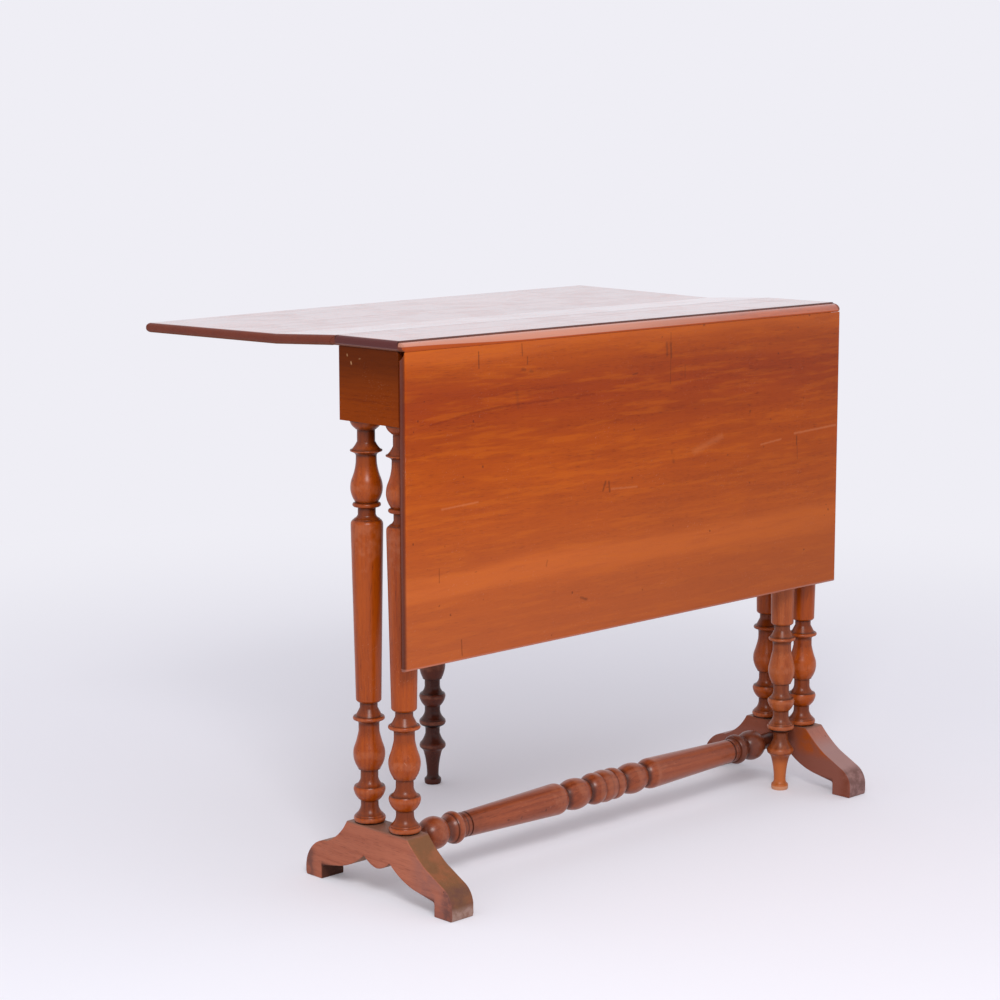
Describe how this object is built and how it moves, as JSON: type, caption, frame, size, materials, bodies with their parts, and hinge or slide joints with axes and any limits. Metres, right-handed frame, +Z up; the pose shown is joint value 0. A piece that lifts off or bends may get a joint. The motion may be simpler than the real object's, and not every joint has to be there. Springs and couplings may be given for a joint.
{
  "type": "drop-leaf table",
  "caption": "Narrow drop-leaf table on turned trestles with a turned stretcher; each leaf hangs on a rule joint and rests on a turned leg that swings out on a knuckle-jointed rail.",
  "frame": {"origin": "on the floor, under the middle of the fixed centre board", "axes": "+X along the top, +Y across it towards the raised leaf, +Z up"},
  "size_m": [0.841, 0.5891, 0.71],
  "materials": {
    "centre_board_wood": "red-brown hardwood, french polished, grain along the top",
    "front_leaf_wood": "red-brown hardwood, french polished, scratched, grain along the leaf",
    "rear_leaf_wood": "red-brown hardwood, french polished, grain along the leaf",
    "end_block_wood": "red-brown hardwood, worn polish, dark at the top",
    "rail_wood": "hardwood, thin stain, dry",
    "open_rail_wood": "hardwood, thin stain, dry, grain along the open rail",
    "column_wood": "red-brown hardwood, turned and polished, darker in the hollows",
    "front_leg_wood": "orange-brown hardwood, turned and polished",
    "rear_leg_wood": "dark red-brown hardwood, turned and polished",
    "stretcher_wood": "red-brown hardwood, turned and polished, pitted",
    "foot_wood": "red-brown hardwood, worn polish",
    "peg_wood": "dry hardwood end grain",
    "hinge_brass": "old cast brass, tarnished",
    "pin_steel": "dull steel",
    "screw_steel": "dull steel, slotted head"
  },
  "bodies": {
    "frame": {"centre_board": "centre_board_wood", "centre_rail": "rail_wood", "front_fixed_flap_screws": "screw_steel", "front_fixed_flaps": "hinge_brass", "front_fixed_rail": "rail_wood", "front_fixed_rail_screws": "screw_steel", "front_gate_pin": "pin_steel", "front_hinge_pins": "pin_steel", "left_end_block": "end_block_wood", "left_foot": "foot_wood", "left_front_column": "column_wood", "left_rear_column": "column_wood", "rear_fixed_flap_screws": "screw_steel", "rear_fixed_flaps": "hinge_brass", "rear_fixed_rail": "rail_wood", "rear_fixed_rail_screws": "screw_steel", "rear_gate_pin": "pin_steel", "rear_hinge_pins": "pin_steel", "right_end_block": "end_block_wood", "right_foot": "foot_wood", "right_front_column": "column_wood", "right_rear_column": "column_wood", "stretcher": "stretcher_wood", "top_screws": "screw_steel"},
    "rear_leaf": {"rear_leaf_flap_screws": "screw_steel", "rear_leaf_flaps": "hinge_brass", "rear_leaf_inner_board": "rear_leaf_wood", "rear_leaf_outer_board": "rear_leaf_wood"},
    "front_leaf": {"front_leaf": "front_leaf_wood", "front_leaf_flap_screws": "screw_steel", "front_leaf_flaps": "hinge_brass"},
    "rear_gate": {"rear_fly_rail": "open_rail_wood", "rear_gate_pegs": "peg_wood", "rear_swing_leg": "rear_leg_wood"},
    "front_gate": {"front_fly_rail": "rail_wood", "front_gate_pegs": "peg_wood", "front_swing_leg": "front_leg_wood"}
  },
  "joints": [
    {"name": "rear_leaf_hinge", "type": "hinge", "parent": "frame", "child": "rear_leaf", "pos_m": [0, 0.057, 0.697], "axis": [1, 0, 0], "range_deg": [0, 2.9]},
    {"name": "front_leaf_hinge", "type": "hinge", "parent": "frame", "child": "front_leaf", "pos_m": [0, -0.057, 0.697], "axis": [-1, 0, 0], "range_deg": [0, 90]},
    {"name": "rear_gate_pivot", "type": "hinge", "parent": "frame", "child": "rear_gate", "pos_m": [-0.024, 0.0255, 0.64743], "axis": [0, 0, 1], "range_deg": [0, 93.2]},
    {"name": "front_gate_pivot", "type": "hinge", "parent": "frame", "child": "front_gate", "pos_m": [0.024, -0.0255, 0.64743], "axis": [0, 0, -1], "range_deg": [0, 0.5]}
  ]
}
